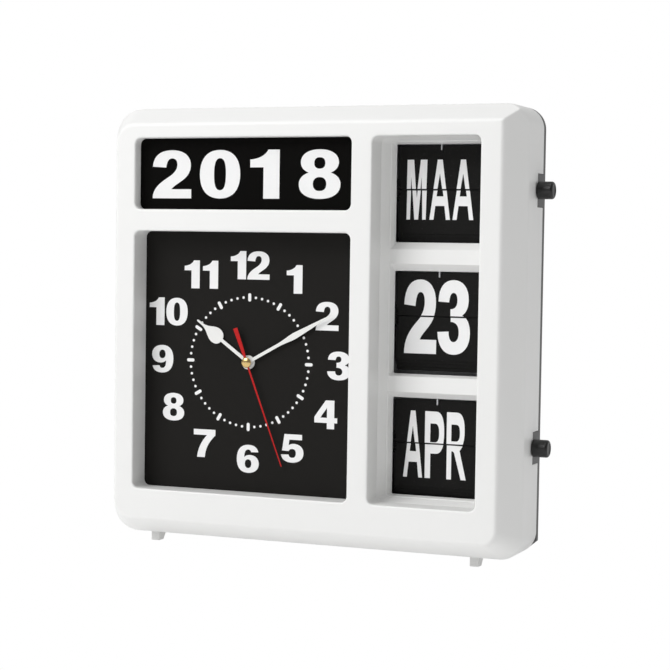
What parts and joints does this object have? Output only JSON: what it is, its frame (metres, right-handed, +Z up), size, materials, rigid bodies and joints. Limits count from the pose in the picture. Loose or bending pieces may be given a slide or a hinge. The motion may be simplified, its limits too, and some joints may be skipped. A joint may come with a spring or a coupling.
{
  "type": "flip number clock",
  "caption": "White square-cased flip calendar with an analogue dial, a year window, split-leaf windows for weekday, date and month, and side knobs.",
  "frame": {"origin": "middle of the bounding box in plan, knobs included, on the surface the feet stand on", "axes": "+Z up, -Y towards the reader in front of the dial, +X to the reader's right, where the knobs are"},
  "size_m": [0.2904, 0.0568, 0.2826],
  "materials": {
    "housing_white": "white moulded ABS, semi-gloss",
    "cover_black": "black moulded plastic, fine texture",
    "dial_black": "printed black card, matt",
    "leaf_black": "black leaf sheet, satin",
    "works_black": "black moulded plastic, plain",
    "knob_black": "black moulded plastic, satin",
    "hand_white": "white paint, matt",
    "hand_red": "red paint, satin",
    "brass": "turned and polished",
    "steel": "zinc plated",
    "belt_rubber": "moulded toothed belt",
    "cell_wrap": "plain film wrap",
    "pulley_white": "natural acetal"
  },
  "bodies": {
    "clock_body": {"front_housing": "housing_white", "flip_bezel": "housing_white", "back_cover": "cover_black", "dial_plate": "dial_black", "year_card": "dial_black", "movement_case": "works_black", "movement_bushing": "brass", "aa_cell": "cell_wrap", "aa_spring_contact": "steel", "aa_plate_contact": "steel", "calendar_cell_tray": "works_black", "calendar_cell": "cell_wrap", "frame_back_plate": "steel", "frame_left_plate": "steel", "frame_right_plate": "steel", "calendar_motor": "works_black", "calendar_belt": "belt_rubber", "cover_screw_1": "steel", "frame_screw_1": "steel", "cover_screw_2": "steel", "frame_screw_2": "steel", "cover_screw_3": "steel", "frame_screw_3": "steel", "cover_screw_4": "steel", "frame_screw_4": "steel", "weekday_next_leaf": "leaf_black", "weekday_lower_leaf": "leaf_black", "weekday_fallen_leaves": "leaf_black", "weekday_waiting_leaves": "leaf_black", "weekday_rear_leaves": "leaf_black", "weekday_leaf_hook": "steel", "date_next_leaf": "leaf_black", "date_lower_leaf": "leaf_black", "date_fallen_leaves": "leaf_black", "date_waiting_leaves": "leaf_black", "date_rear_leaves": "leaf_black", "date_leaf_hook": "steel", "month_next_leaf": "leaf_black", "month_lower_leaf": "leaf_black", "month_fallen_leaves": "leaf_black", "month_waiting_leaves": "leaf_black", "month_rear_leaves": "leaf_black", "month_leaf_hook": "steel"},
    "hour_hand_body": {"hour_hand": "hand_white"},
    "minute_hand_body": {"minute_hand": "hand_white"},
    "second_hand_body": {"second_hand": "hand_red", "centre_cap": "brass"},
    "set_wheel_body": {"time_set_wheel": "works_black"},
    "weekday_reel": {"weekday_spool": "works_black", "upper_knob": "knob_black", "weekday_pulley": "pulley_white"},
    "date_reel": {"date_spool": "works_black", "date_pulley": "pulley_white"},
    "month_reel": {"month_spool": "works_black", "lower_knob": "knob_black"},
    "weekday_flip": {"weekday_upper_leaf": "leaf_black"},
    "date_flip": {"date_upper_leaf": "leaf_black"},
    "month_flip": {"month_upper_leaf": "leaf_black"},
    "door": {"battery_door": "cover_black"}
  },
  "joints": [
    {"name": "minute_hand_turn", "type": "hinge", "parent": "clock_body", "child": "minute_hand_body", "pos_m": [-0.047, -0.0135, 0.12055], "axis": [0, 1, 0], "continuous": true},
    {"name": "hour_hand_turn", "type": "hinge", "parent": "clock_body", "child": "hour_hand_body", "pos_m": [-0.047, -0.0123, 0.12055], "axis": [0, 1, 0], "continuous": true},
    {"name": "time_set_wheel_turn", "type": "hinge", "parent": "clock_body", "child": "set_wheel_body", "pos_m": [-0.037, 0.0086, 0.13455], "axis": [0, 1, 0], "continuous": true},
    {"name": "second_hand_turn", "type": "hinge", "parent": "clock_body", "child": "second_hand_body", "pos_m": [-0.047, -0.0146, 0.12055], "axis": [0, 1, 0], "continuous": true},
    {"name": "weekday_reel_turn", "type": "hinge", "parent": "clock_body", "child": "weekday_reel", "pos_m": [0.0758, 0.0108, 0.231], "axis": [1, 0, 0], "continuous": true},
    {"name": "date_reel_turn", "type": "hinge", "parent": "clock_body", "child": "date_reel", "pos_m": [0.0758, 0.0108, 0.1527], "axis": [1, 0, 0], "continuous": true},
    {"name": "month_reel_turn", "type": "hinge", "parent": "clock_body", "child": "month_reel", "pos_m": [0.0758, 0.0108, 0.0736], "axis": [1, 0, 0], "continuous": true},
    {"name": "weekday_leaf_flip", "type": "hinge", "parent": "clock_body", "child": "weekday_flip", "pos_m": [0.0758, 0.0026, 0.231], "axis": [1, 0, 0], "range_deg": [0, 180]},
    {"name": "date_leaf_flip", "type": "hinge", "parent": "clock_body", "child": "date_flip", "pos_m": [0.0758, 0.0026, 0.1527], "axis": [1, 0, 0], "range_deg": [0, 180]},
    {"name": "month_leaf_flip", "type": "hinge", "parent": "clock_body", "child": "month_flip", "pos_m": [0.0758, 0.0026, 0.0736], "axis": [1, 0, 0], "range_deg": [0, 180]},
    {"name": "battery_door_swing", "type": "hinge", "parent": "clock_body", "child": "door", "pos_m": [-0.0472, 0.0273, 0.0919], "axis": [-1, 0, 0], "range_deg": [0, 95]}
  ],
  "couplings": [
    {"joint": "hour_hand_turn", "follows": "minute_hand_turn", "ratio": 0.083333},
    {"joint": "time_set_wheel_turn", "follows": "minute_hand_turn", "ratio": -1},
    {"joint": "date_reel_turn", "follows": "weekday_reel_turn", "ratio": 0.45161}
  ]
}
